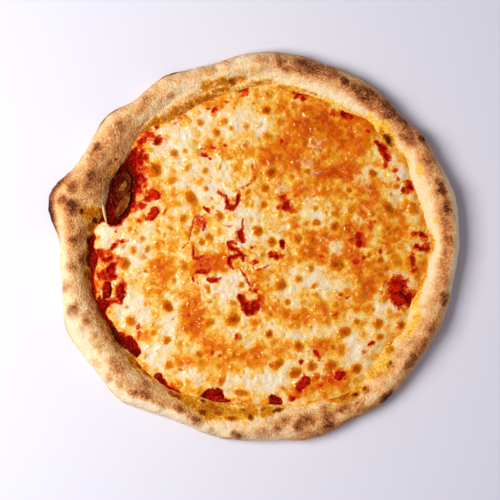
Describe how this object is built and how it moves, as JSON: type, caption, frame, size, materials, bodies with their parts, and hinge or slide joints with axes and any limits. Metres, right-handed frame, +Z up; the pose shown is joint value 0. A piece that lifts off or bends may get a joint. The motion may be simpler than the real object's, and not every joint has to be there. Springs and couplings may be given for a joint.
{
  "type": "margherita pizza",
  "caption": "Whole round pizza with a puffed uneven crust, tomato sauce, melted cheese and pieces of crushed tomato, lying flat.",
  "frame": {"origin": "on the surface the pizza lies on, under the middle of its outline", "axes": "+Z up, away from the surface; +X to the right and +Y away from the viewer who looks down on it"},
  "size_m": [0.3286, 0.311, 0.0213],
  "materials": {
    "baked_dough": "matt, floury pale tan with leopard spots of brown and charcoal",
    "tomato_sauce": "wet dark red sauce, slightly lumpy",
    "melted_cheese": "melted cream cheese with orange oil and golden brown blisters, softly glossy",
    "tomato_flesh": "wet red crushed tomato"
  },
  "bodies": {
    "root": {"crust": "baked_dough", "tomato_sauce": "tomato_sauce", "mozzarella": "melted_cheese", "tomato_piece_1": "tomato_flesh", "tomato_piece_2": "tomato_flesh", "tomato_piece_3": "tomato_flesh", "tomato_piece_4": "tomato_flesh", "tomato_piece_5": "tomato_flesh", "tomato_piece_6": "tomato_flesh", "tomato_piece_7": "tomato_flesh", "tomato_piece_8": "tomato_flesh"}
  },
  "joints": []
}
